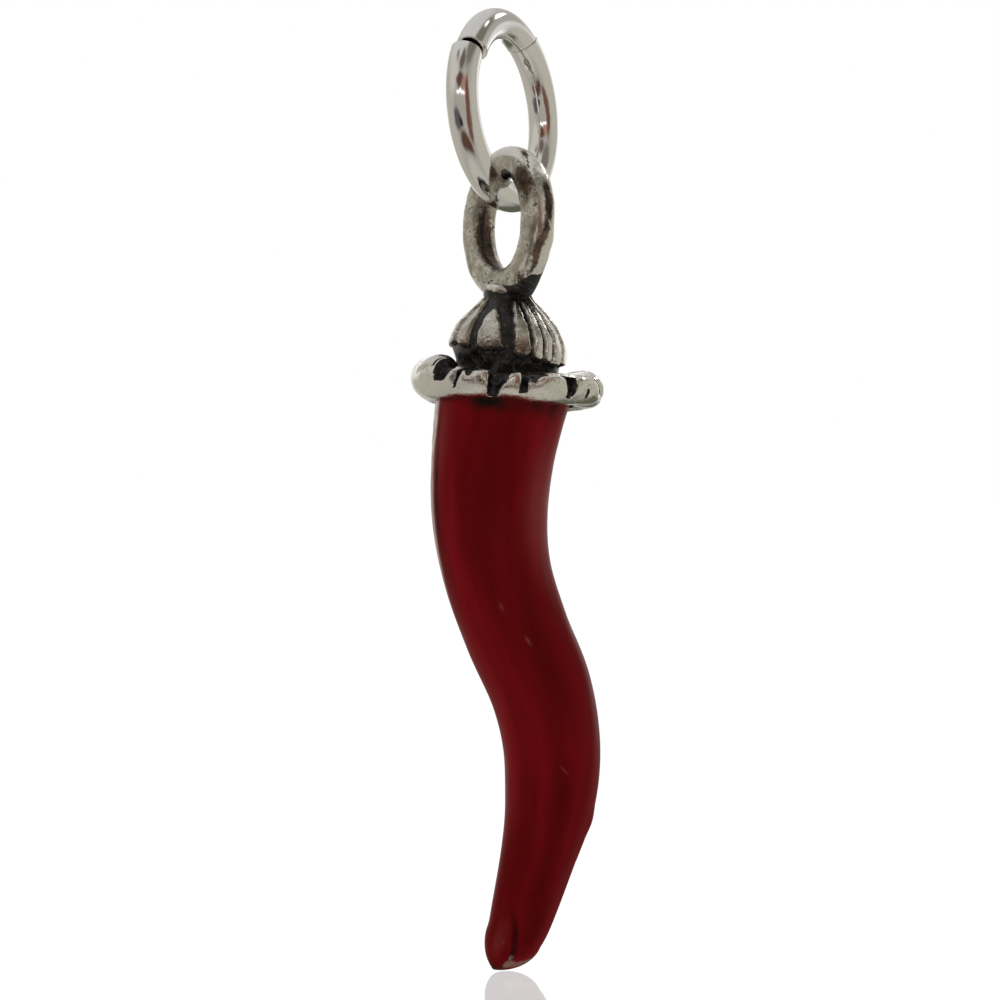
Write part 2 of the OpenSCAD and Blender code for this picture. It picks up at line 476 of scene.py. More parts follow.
@dataclass(frozen=True)
class OxidisedSilver:
    """Cast sterling silver, dipped black and rubbed back: bright crests over a crisp-edged black sulphide.

    The field "oxide" is 1 in a black recess, "rub" is 1 where the metal is polished, and the tarnish field is 1
    where a brown tarnish is left; under the collar's lip it also lays the tarnish tones as painted shade. In
    between the metal is a satin, pitted beige grey.
    """

    name: str = "oxidised_cast_silver"
    silver: str = "E9E6DE"
    satin: str = "DEDACF"
    dull_satin: str = "A29B8C"
    speck: str = "4E483F"
    tarnish: str = "75604F"
    dark_tarnish: str = "2E2620"
    oxide: str = "0E0D0D"
    oxide_worn: str = "45403C"
    polish: float = 0.13
    satin_rough: float = 0.36
    oxide_rough: float = 0.34
    tarnish_metal: float = 0.8
    oxide_metal: float = 0.1
    mottle_mm: float = 0.5
    speck_mm: float = 0.11
    edge_mm: float = 0.13
    pit_depth_mm: float = 0.012

    def masks(self, tree: bpy.types.NodeTree, noise: dict[str, Source]) -> dict[str, Source]:
        """Where the black, the polished, the brown and the pitted metal lie.

        Args:
            tree: The material's node tree.
            noise: The noises "mottle", "speck" and "edge".

        Returns:
            The share of each, and the patchiness and the specks of the metal.
        """
        # Each field is made ragged by a noise and then cut to a border: the noise, its weight, low and high
        cuts = {
            "oxide": ("edge", 0.9, 0.88, 1.04),
            "rub": ("mottle", 0.8, 0.70, 1.10),
            "stain_and_shade": ("speck", 1.6, 0.90, 1.75),
        }
        masks = {}
        for key, (grain, weight, low, high) in cuts.items():
            level = add_node(tree, "ShaderNodeAttribute", {"attribute_name": key}).outputs["Fac"]
            ragged = add_node(tree, "ShaderNodeMath", TIMES_PLUS, {1: weight}, {0: noise[grain], 2: level})
            border = {"From Min": low, "From Max": high}
            masks[key] = add_node(tree, "ShaderNodeMapRange", SMOOTH, border, {"Value": ragged})
        # Specks sit in the satin metal and thin out where it is dull
        border = {"From Min": 0.52, "From Max": 0.67}
        masks["specks"] = add_node(tree, "ShaderNodeMapRange", SMOOTH, border, {"Value": noise["speck"]})
        border = {"From Min": 0.35, "From Max": 0.62}
        masks["patches"] = add_node(tree, "ShaderNodeMapRange", values=border, links={"Value": noise["mottle"]})
        both = {0: masks["specks"], 1: masks["patches"]}
        masks["pits"] = add_node(tree, "ShaderNodeMath", {"operation": "MULTIPLY"}, links=both)
        return masks

    def material(self) -> bpy.types.Material:
        """The finish as a node material."""
        material, tree = new_material(self.name)
        place = {"Vector": add_node(tree, "ShaderNodeTexCoord").outputs["Object"]}
        noise = {}
        grains = {"mottle": (self.mottle_mm, 5.0), "speck": (self.speck_mm, 3.0), "edge": (self.edge_mm, 4.0)}
        for key, (size, detail) in grains.items():
            grain = {"Scale": per_metre(size), "Detail": detail, "Roughness": 0.6}
            noise[key] = add_node(tree, "ShaderNodeTexNoise", values=grain, links=place)
        masks = self.masks(tree, noise)
        # Satin, tarnish and sulphide each have two tones
        pairs = {
            "satin": ("patches", self.dull_satin, self.satin),
            "tarnish": ("patches", self.dark_tarnish, self.tarnish),
            "oxide": ("specks", self.oxide, self.oxide_worn),
        }
        tones = {}
        for key, (mask, dark, light) in pairs.items():
            ends = {MIX_A: linear(dark), MIX_B: linear(light)}
            tones[key] = add_node(tree, "ShaderNodeMix", IN_COLOUR, ends, {0: masks[mask]}).outputs[MIX_OUT]
        colour = tones["satin"]
        for key, code in (("pits", self.speck), ("rub", self.silver)):
            links = {0: masks[key], MIX_A: colour}
            colour = add_node(tree, "ShaderNodeMix", IN_COLOUR, {MIX_B: linear(code)}, links).outputs[MIX_OUT]
        for key, cover in (("stain_and_shade", tones["tarnish"]), ("oxide", tones["oxide"])):
            links = {0: masks[key], MIX_A: colour, MIX_B: cover}
            colour = add_node(tree, "ShaderNodeMix", IN_COLOUR, links=links).outputs[MIX_OUT]
        rough = add_node(tree, "ShaderNodeMix", None, {2: self.satin_rough, 3: self.polish}, {0: masks["rub"]})
        rough = add_node(tree, "ShaderNodeMix", None, {3: self.oxide_rough}, {0: masks["oxide"], 2: rough})
        # Sulphide is no metal, and tarnish not quite one
        metal = add_node(tree, "ShaderNodeMix", None, {2: 1.0, 3: self.tarnish_metal}, {0: masks["stain_and_shade"]})
        metal = add_node(tree, "ShaderNodeMix", None, {3: self.oxide_metal}, {0: masks["oxide"], 2: metal})
        height = add_node(tree, "ShaderNodeMath", TIMES_PLUS, {1: -0.8}, {0: masks["pits"], 2: noise["edge"]})
        links = {"Base Color": colour, "Metallic": metal, "Roughness": rough}
        end_finish(tree, height, (0.8, self.pit_depth_mm), {}, links)
        return material


@dataclass(frozen=True)
class RedEnamel:
    """Glass enamel fired over silver: deep translucent red, smooth, with faint streaks along its flow.

    The field "flow" is the place on the straightened horn. One field paints a deeper red as shade, down the
    front and along the tip's crease and its right side. The pale field is paler where the enamel is thin or
    scratched, and is also a painted highlight on the upper right and painted light on the tip's left face. The
    soot field holds dark stains and marks, and also painted shade under the cap's lip and in the tip's crease.
    "bare" is where it is worn to the silver.
    """

    deep: str = "62070B"
    bright: str = "7A0B13"
    # The deepest red, laid on as painted shade down the front and on the tip
    thick: str = "430204"
    # Paler tone of thin or scratched enamel, also laid on as a painted highlight
    thin: str = "8E4440"
    # Dark stain colour, also laid on as painted shade under the cap and in the tip's crease
    soot_and_shade: str = "1C110D"
    silver: str = "B9B1A4"
    ior: float = 1.5
    mirror: float = 0.03
    gloss: float = 0.3
    dull: float = 0.42
    streak_mm: float = 1.1
    streak_length_mm: float = 9.0
    ripple_mm: float = 0.8
    ripple_depth_mm: float = 0.01

    def material(self) -> bpy.types.Material:
        """The finish as a node material."""
        material, tree = new_material("fired_red_enamel")
        marks = {
            key: add_node(tree, "ShaderNodeAttribute", {"attribute_name": key})
            for key in ("flow", "deep_shade", "pale_and_highlight", "soot_and_shade", "bare")
        }
        flow = {"Vector": marks["flow"].outputs["Vector"]}
        across, along = per_metre(self.streak_mm), per_metre(self.streak_length_mm)
        scale = {"Scale": (across, across, along)}
        stretch = {"Vector": add_node(tree, "ShaderNodeMapping", None, scale, flow)}
        grain = {"Scale": 1.0, "Detail": 6.0, "Roughness": 0.62}
        streaks = add_node(tree, "ShaderNodeTexNoise", values=grain, links=stretch)
        grain = {"Scale": per_metre(self.ripple_mm), "Detail": 3.0}
        ripple = add_node(tree, "ShaderNodeTexNoise", values=grain, links=flow)
        middle = {"From Min": 0.3, "From Max": 0.7}
        streaked = add_node(tree, "ShaderNodeMapRange", SMOOTH, middle, {"Value": streaks})
        tones = {MIX_A: linear(self.deep), MIX_B: linear(self.bright)}
        colour = add_node(tree, "ShaderNodeMix", IN_COLOUR, tones, {0: streaked}).outputs[MIX_OUT]
        # The deep red is painted shade; the pale tone is partly a painted highlight and the soot partly painted
        # shade
        covers = (("deep_shade", self.thick), ("pale_and_highlight", self.thin), ("bare", self.silver), ("soot_and_shade", self.soot_and_shade))
        for key, code in covers:
            links = {0: marks[key].outputs["Fac"], MIX_A: colour}
            colour = add_node(tree, "ShaderNodeMix", IN_COLOUR, {MIX_B: linear(code)}, links).outputs[MIX_OUT]
        wear = middle | {"To Min": self.gloss, "To Max": self.dull}
        rough = add_node(tree, "ShaderNodeMapRange", values=wear, links={"Value": ripple})
        links = {"Base Color": colour, "Metallic": marks["bare"].outputs["Fac"], "Roughness": rough}
        values = {"IOR": self.ior, "Specular IOR Level": self.mirror}
        end_finish(tree, ripple, (0.6, self.ripple_depth_mm), values, links)
        return material


@dataclass
class JumpRing:
    """The open jump ring: round wire, sheared where it is cut, with the two ends a little out of line.

    Places on the ring are degrees round from the side limb up toward the top.
    """

    inner_d: float = 5.15
    wire_d: float = 1.2
    gap: float = 0.1
    cut_at: float = 147.0
    twist: float = 0.75
    turn: float = 32.0
    lean: float = 2.0
    edge_round: float = 0.04
    hairline_at: float = 59.0
    hairline_depth: float = 0.04
    hairline_width: float = 0.035
    hairline_slant: float = 9.0
    hairline_step: float = 0.04
    hairline_dark: float = 0.75
    hairline_margin: float = 2.0
    step_rise: tuple[float, float] = (0.0, 0.05)
    step_fall: tuple[float, float] = (0.5, 4.0)
    steps: int = 480
    rim_steps: int = 7
    hairline_steps: int = 45
    sides: int = 96
    finish: PolishedSilver = PolishedSilver()

    @property
    def mid_r(self) -> float:
        """Radius of the wire's middle line."""
        return (self.inner_d + self.wire_d) / 2

    @property
    def hang(self) -> np.ndarray:
        """Middle of the wire at its lowest point, where the pendant hangs."""
        low = upward(-self.inner_d - self.wire_d / 2)
        return turned(turned(low, 0, -self.lean), 2, self.turn)

    def placed(self, points: np.ndarray) -> np.ndarray:
        """Moves points from the flat ring, with its cut on -X, to the hanging ring.

        Args:
            points: Points about the ring's centre.

        Returns:
            The points in the part's frame.
        """
        upright = turned(turned(points, 2, self.cut_at - 180), 0, 90)
        hung = upright - upward(self.inner_d / 2)
        return turned(turned(hung, 0, -self.lean), 2, self.turn)

    def wire(self) -> Loft:
        """The wire from one cut end round to the other, with a hairline crack on the way."""
        reach = 180 - math.degrees(self.gap / 2 / self.mid_r)
        crack = self.hairline_at - self.cut_at + 180
        rim = np.degrees(self.edge_round / self.mid_r) * (1 - np.sin(np.linspace(0, np.pi / 2, self.rim_steps)))
        even = np.linspace(-reach, reach, self.steps)
        margin = self.hairline_margin
        at_crack = crack + np.linspace(-margin, margin + self.hairline_slant, self.hairline_steps)
        place = np.unique(np.concatenate([even, reach - rim, rim - reach, at_crack]))
        along = np.radians(place)[:, None]
        section = np.radians(round_angles(self.sides))[None, :]
        from_end = (reach - np.abs(place)) * np.pi / 180 * self.mid_r
        inset = np.clip(1 - from_end / self.edge_round, 0, 1)
        thick = self.wire_d / 2 - self.edge_round * (1 - np.sqrt(1 - inset**2))
        # The crack runs aslant, higher on the inside
        slant = self.hairline_slant * (1 - np.cos(section)) / 2
        past = (crack + slant - place[:, None]) * np.pi / 180 * self.mid_r
        groove = np.exp(-((past / self.hairline_width) ** 2))
        thick = thick[:, None] - self.hairline_depth * groove
        # Past the crack the wire stands out a little and comes back in line farther on
        risen, fallen = rise_between(past, *self.step_rise), rise_between(past, *self.step_fall)
        step = self.hairline_step * risen * (1 - fallen)
        radius = self.mid_r + step + thick * np.cos(section)
        sideways = math.sin(math.radians(self.twist)) * self.mid_r * (1 - np.cos(along)) * np.sign(along)
        height = sideways - thick * np.sin(section)
        points = np.stack([radius * np.cos(along), radius * np.sin(along), height], axis=-1)
        # The wire is darker along the crack
        return Loft(self.placed(points), {"crack_dark": self.hairline_dark * groove})

    def build(self) -> bpy.types.Object:
        """Builds and dresses the ring."""
        piece = make_piece("jump_ring_wire", [self.wire()], sharp=40.0)
        settle(piece, Body.RING, "jump_ring", self.finish.material())
        return piece


@dataclass
class Cap:
    """The cast cap: an eyelet on a fluted bell, over a collar of slanted lobes with a smooth lip."""

    hang: np.ndarray
    eye_inner_d: float = 3.4
    eye_wire: float = 1.16
    eye_narrow: float = 0.96
    hang_gap: float = 0.06
    ring_wire: float = 1.2
    neck_d: float = 1.85
    neck_sink: float = 0.48
    bell_over: float = 0.05
    bell_h: float = 2.45
    petal_relief: float = 0.2
    collar_t: float = 1.45
    collar_step: float = 0.42
    collar_drop: float = 1.15
    crest_drop: float = 0.45
    lobe_relief: float = 0.36
    lobe_round: float = 0.09
    lip_sag: float = 0.16
    lip_clear: float = 0.04
    lean: float = 5.0
    horn_d: float = 5.0
    socket_d: float = 2.48
    socket_h: float = 1.34
    front: float = -120.0

    # Petals, notches and lobes: width of their flanks, and how round their corners and how bowed their ends are
    petal_rim: float = 0.15
    petal_flank: float = 0.12
    petal_corners: tuple[float, float] = (0.06, 0.08)
    petal_bows: tuple[float, float] = (0.15, 0.03)
    notch_corners: tuple[float, float] = (0.05, 0.04)
    notch_knee: float = 25.0
    notch_flank: float = 0.16
    lobe_flank: float = 0.28
    collar_from: float = 150.0
    # Unevenness of borders and of faces
    wall_wobble: Swell = Swell(10.0, 1.0, 10)
    petal_wobble: tuple[Swell, Swell] = (Swell(0.022, 0.5, 4), Swell(0.012, 0.16, 5))
    notch_wobble: tuple[Swell, Swell] = (Swell(0.022, 0.6, 7), Swell(0.010, 0.17, 8))
    eye_wobble: tuple[Swell, Swell] = (Swell(4.0, 1.1, 15), Swell(3.0, 0.9, 16))
    petal_swell: Swell = Swell(0.018, 0.8, 6)
    groove_swell: Swell = Swell(0.02, 0.7, 14)
    lobe_swell: Swell = Swell(0.018, 1.1, 9)
    eye_swell: Swell = Swell(0.012, 0.7, 11)
    # The eyelet: how much deeper than wide its wire is, how square, and how its foot swells and is filled
    eye_flat: float = 0.02
    eye_square: float = 0.9
    foot_swell: tuple[float, float] = (0.04, 0.05)
    foot_fillet: float = 0.26
    foot_fillet_at: tuple[float, float] = (244.0, 13.0)
    foot_line: tuple[float, float, float] = (225.0, 26.0, 73.0)
    # Shares of black, of polish lost and of tarnish at the petals, the lip and the eyelet's foot
    petal_foot_black: float = 0.4
    petal_foot_stain: float = 0.75
    petal_rub: float = 0.5
    lip_dull: float = 0.5
    # Under the lip the tarnish tones are painted shade
    lip_underside_shade: float = 0.35
    eye_foot_dull: float = 0.6
    lump_bright: float = 2.5
    # Numbers of rings and of points round them
    around: int = 400
    bell_steps: int = 104
    collar_steps: tuple[int, int] = (46, 60)
    eye_steps: int = 240
    eye_sides: int = 64
    finish: OxidisedSilver = OxidisedSilver()

    # Solder at the neck: a lump at its left, which leans, and a fillet that fills the corner at its right. The
    # first coordinate is the share of bell_h down, the second is in degrees, and the strength is the height.
    lump: Spot = Spot(-0.01, -45.0, 0.075, 41.0, 0.0019, 0.15)
    lump_level: float = -38.0
    fillet: Spot = Spot(-0.03, 38.0, 0.07, 30.0, 0.0, 0.16)
    # Outline of the neck and bell over its petals: share of bell_h down, share out from the neck to the
    # bell, and depth of the grooves as a share of petal_relief
    bell_rows: tuple[tuple[float, float, float], ...] = (
        (-0.10, -0.60, 0.0), (-0.05, -0.26, 0.0), (0.00, -0.12, 0.0), (0.05, -0.04, 0.0), (0.10, 0.00, 0.1),
        (0.15, 0.03, 0.4), (0.21, 0.10, 0.7), (0.31, 0.27, 0.9), (0.45, 0.52, 1.0), (0.60, 0.75, 1.0),
        (0.75, 0.91, 1.0), (0.88, 0.99, 1.0), (0.98, 1.00, 1.05), (1.07, 0.98, 1.1), (1.16, 0.94, 1.1),
        (1.26, 0.88, 0.9),
    )
    # Petals: middle and half width in degrees, share of bell_h at the top and at the foot, and how much of
    # the width is lost toward the top
    petals: tuple[tuple[float, float, float, float, float], ...] = (
        (-75.0, 12.0, 0.16, 0.97, 0.2), (-50.5, 9.3, 0.17, 1.02, 0.35), (-19.0, 15.5, 0.36, 1.07, 0.44),
        (14.8, 9.4, 0.25, 1.15, 0.26), (31.3, 6.2, 0.20, 1.18, 0.15), (44.3, 5.4, 0.16, 1.20, 0.2),
        (58.0, 7.2, 0.13, 1.21, 0.2), (76.0, 9.5, 0.12, 1.18, 0.2), (102.0, 9.0, 0.20, 1.08, 0.2),
        (127.5, 10.5, 0.25, 1.04, 0.3), (151.5, 10.5, 0.22, 1.02, 0.3), (178.5, 10.5, 0.20, 1.00, 0.25),
        (202.5, 10.5, 0.24, 1.00, 0.3), (228.0, 9.0, 0.20, 0.98, 0.2), (253.5, 12.5, 0.22, 0.97, 0.3),
    )
    # Notches of the collar: middle at the top and at the bottom, half width at the top and at the bottom in
    # degrees, the angles on the section between which it lies, and its share of lobe_relief
    notches: tuple[tuple[float, float, float, float, float, float, float], ...] = (
        (-52.0, -62.0, 1.3, 1.2, 80.0, 16.0, 0.35), (-41.5, -45.5, 8.0, 4.6, 180.0, -30.0, 1.0),
        (-26.8, -34.5, 2.6, 1.3, 180.0, -52.0, 0.8), (-22.5, -23.5, 4.2, 1.5, 180.0, -14.0, 0.6),
        (-3.5, -9.6, 8.0, 3.2, 180.0, -80.0, 1.0), (10.4, 10.2, 3.6, 2.3, 180.0, -50.0, 0.95),
        (17.0, 14.5, 7.5, 2.0, 180.0, -24.0, 0.7), (39.6, 42.4, 5.8, 2.2, 34.0, -60.0, 1.0),
        (56.3, 56.0, 1.5, 1.1, -14.0, -44.0, 0.5), (66.0, 74.0, 1.3, 1.1, 60.0, -22.0, 0.4),
        (94.0, 90.0, 6.0, 4.0, 180.0, -36.0, 0.9), (118.0, 112.0, 7.0, 4.5, 180.0, -44.0, 1.0),
        (142.0, 137.0, 4.0, 2.5, 180.0, -30.0, 0.8), (165.0, 159.0, 7.5, 4.5, 180.0, -50.0, 1.0),
        (189.0, 184.0, 5.0, 3.0, 180.0, -36.0, 0.9), (213.0, 207.0, 7.5, 4.5, 180.0, -56.0, 1.0),
        (236.0, 231.0, 3.5, 2.0, 180.0, -30.0, 0.8), (258.0, 253.0, 7.0, 4.0, 180.0, -42.0, 1.0),
        (278.0, 273.0, 3.0, 1.6, 180.0, -20.0, 0.6),
    )
    # Share of crest_drop by which the lobes stand lower, by degrees
    low_crests: tuple[tuple[float, float], ...] = (
        (-160.0, 0.15), (-90.0, -0.05), (-56.0, 0.0), (-45.0, 0.35), (-36.0, 0.9), (-25.0, 1.1), (-12.0, 1.25),
        (0.0, 1.25), (20.0, 1.15), (45.0, 0.9), (60.0, 0.5), (75.0, 0.25), (92.0, 0.2), (140.0, 0.15),
    )
    # Share of lip_sag by which the lip hangs lower, by degrees
    low_lip: tuple[tuple[float, float], ...] = (
        (-150.0, 0.3), (-90.0, 0.75), (-60.0, 0.9), (-30.0, 0.8), (-10.0, 0.95), (0.0, 1.15), (15.0, 1.0),
        (27.0, 0.8), (38.0, 0.55), (50.0, 0.2), (70.0, -0.3), (95.0, -0.5), (150.0, 0.0),
    )
    # Spots of the eyelet. The first coordinate goes round the eyelet, from -90 at the foot over the far limb,
    # the top at 90 and the near limb. The second goes round its section: 0 outside, -90 toward -X.
    eye_black: tuple[Spot, ...] = (
        Spot(98.0, -150.0, 42.0, 32.0, 1.0, 1.1), Spot(80.0, 178.0, 26.0, 40.0),
        Spot(-30.0, -158.0, 50.0, 9.0, 0.0, 0.9), Spot(6.0, -163.0, 30.0, 9.0, 0.0, 0.8),
        Spot(-20.0, 166.0, 44.0, 8.0, 0.0, 0.8), Spot(132.0, -27.0, 22.0, 4.0, -0.7),
        Spot(135.0, 4.0, 12.0, 2.6, 1.4, 0.7), Spot(168.0, -172.0, 36.0, 14.0, 0.0, 0.6),
        Spot(-78.0, -98.0, 18.0, 5.0, 0.6, 0.8),
    )
    eye_brown: tuple[Spot, ...] = (
        Spot(149.0, -70.0, 26.0, 50.0, 0.0, 1.5), Spot(71.0, -140.0, 26.0, 48.0, 0.0, 1.5),
        Spot(-24.0, -168.0, 82.0, 46.0, 0.0, 1.7), Spot(234.0, -44.0, 12.0, 44.0, 0.0, 0.9),
        Spot(170.0, 15.0, 26.0, 29.0, 0.0, 1.6), Spot(201.0, -10.0, 36.0, 27.0, -0.7, 1.7),
        Spot(119.0, -19.0, 10.0, 17.0, 0.0, 1.3),
    )
    # Border of the polished outside on the side toward -X, round the eyelet
    eye_border: tuple[tuple[float, float], ...] = (
        (-60.0, -30.0), (40.0, -70.0), (91.0, -74.0), (108.0, -66.0), (128.0, -48.0), (166.0, -24.0),
        (178.0, -27.0), (205.0, -48.0), (225.0, -62.0),
    )

    @property
    def collar_r(self) -> float:
        """Radius of the middle of the collar's section."""
        return self.horn_d / 2 + self.collar_step

    @property
    def bell_r(self) -> float:
        """Radius of the bell over its petals."""
        return self.collar_r - self.collar_t / 2 + self.bell_over

    @property
    def eye_drop(self) -> float:
        """Depth of the eyelet's centre below the hanging point."""
        return self.eye_inner_d / 2 - self.ring_wire / 2 - self.hang_gap

    @property
    def neck_drop(self) -> float:
        """Depth of the neck's top below the hanging point."""
        return self.eye_drop + self.eye_inner_d / 2 + self.eye_wire - self.neck_sink

    @property
    def collar_mid(self) -> float:
        """Depth of the collar's middle below the hanging point."""
        return self.neck_drop + self.bell_h + self.collar_drop

    @property
    def lip(self) -> float:
        """Angle on the collar's section, below its outermost point, at which it meets the horn."""
        return 180 - math.degrees(math.acos(self.collar_step / (self.collar_t / 2)))

    @property
    def seat(self) -> float:
        """Depth of the horn's seat below the collar's middle."""
        return self.collar_t / 2 * math.sin(math.radians(self.lip))

    def leaned(self, radius: np.ndarray, angle: np.ndarray, height: np.ndarray, lean: np.ndarray) -> np.ndarray:
        """Points of the cap, leaned in the plane of the horn's curve.

        Args:
            radius: Distance from the cap's axis.
            angle: Angle round from +X, in degrees.
            height: Height over the middle of the leaned section.
            lean: Lean of each section, in degrees.

        Returns:
            Points about the middle of each section.
        """
        (ca, sa), (c, s) = cos_sin(angle), cos_sin(lean)
        x, y = radius * ca, radius * sa
        return np.stack([x * c + height * s, y, height * c - x * s], axis=-1)

    def petal_inside(self, angle: np.ndarray, down: np.ndarray) -> np.ndarray:
        """How far each point of the bell lies inside the nearest petal, in millimetres.

        Args:
            angle: Degrees right of the front.
            down: Share of the bell's height.

        Returns:
            The distance from the petal's border, below 0 in the grooves.
        """
        inside = np.full(np.broadcast(angle, down).shape, -1.0)
        downs, outs = np.array(self.bell_rows).T[:2]
        reach = self.neck_d / 2 + np.interp(down, downs, outs) * (self.bell_r - self.neck_d / 2)
        for middle, half, top, foot, taper in self.petals:
            width = half * (1 - taper * np.clip((foot - down) / (foot - top), 0, 1))
            away = angle_apart(angle, middle)
            across = np.clip(np.abs(away) / width, 0, 1.5)
            side = np.radians(width - np.abs(away)) * reach
            head = (down - top - self.petal_bows[0] * across**2) * self.bell_h
            base = (foot - down - self.petal_bows[1] * across**2) * self.bell_h
            at_head, at_foot = self.petal_corners
            inside = np.maximum(inside, least(least(side, head, at_head), base, at_foot))
        return inside

    def notch_inside(self, angle: np.ndarray, phi: np.ndarray) -> tuple[np.ndarray, np.ndarray]:
        """How far each point of the collar lies inside the nearest notch, in millimetres.

        Args:
            angle: Degrees right of the front.
            phi: Angle on the collar's section.

        Returns:
            The distance from the notch's border, below 0 on a lobe, and the depth there, from 0 to 1.
        """
        outer_r = self.collar_r + self.collar_t / 2
        inside = np.full(np.broadcast(angle, phi).shape, -1.0)
        depth = np.zeros_like(inside)
        for at_top, at_bottom, half_top, half_bottom, high, low, share in self.notches:
            s = np.clip((phi - low) / (min(high, self.notch_knee) - low), 0, 1)
            middle = at_bottom + (at_top - at_bottom) * s
            half = half_bottom + (half_top - half_bottom) * s
            side = np.radians(half - np.abs(angle_apart(angle, middle))) * outer_r
            below = np.radians(phi - low) * self.collar_t / 2
            above = np.radians(high - phi) * self.collar_t / 2
            at_low, at_high = self.notch_corners
            within = least(least(side, below, at_low), above, at_high)
            inside = np.maximum(inside, within)
            depth = np.maximum(depth, share * ease(within / self.notch_flank))
        return inside, depth

    def bell(self) -> tuple[np.ndarray, dict[str, np.ndarray]]:
        """Rings of the neck and the bell about the neck's top, with their fields."""
        rows = np.linspace(0, len(self.bell_rows) - 1, self.bell_steps)
        down, out, cut = [column(self.bell_rows, rows, col)[:, None] for col in range(3)]
        angle = round_angles(self.around) + 0 * down
        right = angle_apart(angle, self.front)
        base = self.neck_d / 2 + out * (self.bell_r - self.neck_d / 2)
        rough = self.leaned(base, angle, -down * self.bell_h, 0 * angle)
        coarse, fine = self.petal_wobble
        inside = self.petal_inside(right, down) + uneven(rough, coarse) + uneven(rough, fine)
        crest = ease(self.petal_rim + inside / self.petal_flank)
        radius = base - self.petal_relief * cut * (1 - crest) + uneven(rough, self.petal_swell) * crest
        at, tilt = self.lump, down - self.lump.first - self.lump.slant * (right - self.lump_level)
        away = (right - at.second) / at.half_second
        lump = np.exp(-(away**4) - (tilt / at.half_first) ** 2)
        at = self.fillet
        away = (right - at.second) / at.half_second
        fillet = np.exp(-(away**2) - ((down - at.first) / at.half_first) ** 2)
        radius = radius + self.lump.strength * lump + self.fillet.strength * fillet
        radius = radius + uneven(rough, self.groove_swell) * (1 - crest)
        rings = self.leaned(radius, angle, 0 * radius, self.lean * ease(down) + 0 * angle)
        rings[..., 2] -= down * self.bell_h
        groove = (1 - rise_between(inside, -0.005, 0.05)) * rise_between(down, 0.0, 0.1)
        neck = 1 - rise_between(down, 0.12, 0.2)
        worn_foot = self.petal_foot_black * rise_between(down, 0.80, 1.0) * rise_between(-right, -6, 16)
        black = np.clip(np.maximum(np.maximum(groove, neck), worn_foot) - self.lump_bright * lump, 0, 1)
        polish = self.petal_rub + (1 - self.petal_rub) * rise_between(right, 20, 50)
        rub = np.clip(polish * crest + lump, 0, 1)
        stain_and_shade = self.petal_foot_stain * rise_between(down, 0.74, 1.02) * crest * rise_between(-right, -50, -10)
        return rings, {"oxide": black, "rub": rub, "stain_and_shade": stain_and_shade}

    def collar(self) -> tuple[np.ndarray, dict[str, np.ndarray]]:
        """Rings of the collar and its underside about the neck's top, with their fields."""
        upper, lower = self.collar_steps
        phi = np.concatenate([np.linspace(self.collar_from, 4, upper), np.linspace(1, -self.lip, lower)])
        phi = phi[:, None]
        angle = round_angles(self.around) + 0 * phi
        right = angle_apart(angle, self.front)
        turn = np.radians(phi)
        half = self.collar_t / 2
        plain = self.leaned(self.collar_r + half * np.cos(turn), angle, half * np.sin(turn), 0 * angle)
        inside, depth = self.notch_inside(right, phi + 0 * angle)
        coarse, fine = self.notch_wobble
        inside = inside + uneven(plain, coarse) + uneven(plain, fine)
        # Each lobe is round toward its notches, and the lip below them is smooth
        flank = self.lobe_round * (1 - ease(-inside / self.lobe_flank)) * rise_between(phi, -45, 0)
        thick = half - flank - self.lobe_relief * depth + uneven(plain, self.lobe_swell)
        drop = self.crest_drop * round_table(self.low_crests, right) / half
        above, below = thick * np.sin(turn) * (1 - drop), thick * np.sin(np.maximum(turn, -np.pi / 2))
        rise = np.where(phi > 0, above, below)
        rise = rise - self.lip_sag * round_table(self.low_lip, right) * rise_between(-phi, 10, 115)
        radius = self.collar_r + thick * np.cos(turn)
        # The lip's inner wall, the seat of the horn and the socket of its post
        radius[-1] = self.horn_d / 2 + self.lip_clear
        walls = [(self.horn_d / 2 + self.lip_clear, -self.seat), (self.socket_d / 2, -self.seat)]
        walls.append((self.socket_d / 2, self.socket_h - self.seat))
        radius = np.vstack([radius] + [np.full((1, self.around), r) for r, _ in walls])
        rise = np.vstack([rise] + [np.full((1, self.around), h) for _, h in walls])
        angle = np.vstack([angle, angle[: len(walls)]])
        rings = self.leaned(radius, angle, rise, np.full_like(radius, self.lean))
        rings[..., 2] -= self.bell_h + self.collar_drop
        hidden = np.zeros((len(walls), self.around))
        inner = rise_between(phi + uneven(plain, self.wall_wobble), 78, 96)
        black = np.maximum(rise_between(inside, -0.02, 0.03), inner)
        rub = 1 - self.lip_dull * rise_between(phi + 0 * angle[: len(phi)], -20, -100)
        # The lip's underside gets the tarnish tones as painted shade
        stain_and_shade = self.lip_underside_shade * rise_between(-phi, 84, 120) + 0 * rub
        fields = {"oxide": black, "rub": rub, "stain_and_shade": stain_and_shade}
        return rings, {key: np.vstack([grid, hidden + (key == "oxide")]) for key, grid in fields.items()}

    def body(self) -> Loft:
        """The bell and the collar as one skin."""
        bell, bell_fields = self.bell()
        collar, collar_fields = self.collar()
        rings = np.concatenate([bell, collar]) + self.hang - upward(self.neck_drop)
        return Loft(rings, {key: np.concatenate([bell_fields[key], collar_fields[key]]) for key in bell_fields})

    def eyelet(self) -> Loft:
        """The cast eyelet: flat sides with a satin, speckled skin, polished outside and dark within."""
        along = (round_angles(self.eye_steps) - 90)[:, None]
        section = (round_angles(self.eye_sides) - 180)[None, :]
        (c, s), (ca, sa) = cos_sin(section), cos_sin(along)
        below = -sa
        power = 2.0 + self.eye_square * rise_between(-np.abs(sa), -0.95, -0.6)
        square = (np.abs(c) ** power + np.abs(s) ** power) ** (-1 / power)
        deep, wide = self.eye_wire / 2 + self.eye_flat, self.eye_wire / 2 - self.eye_flat
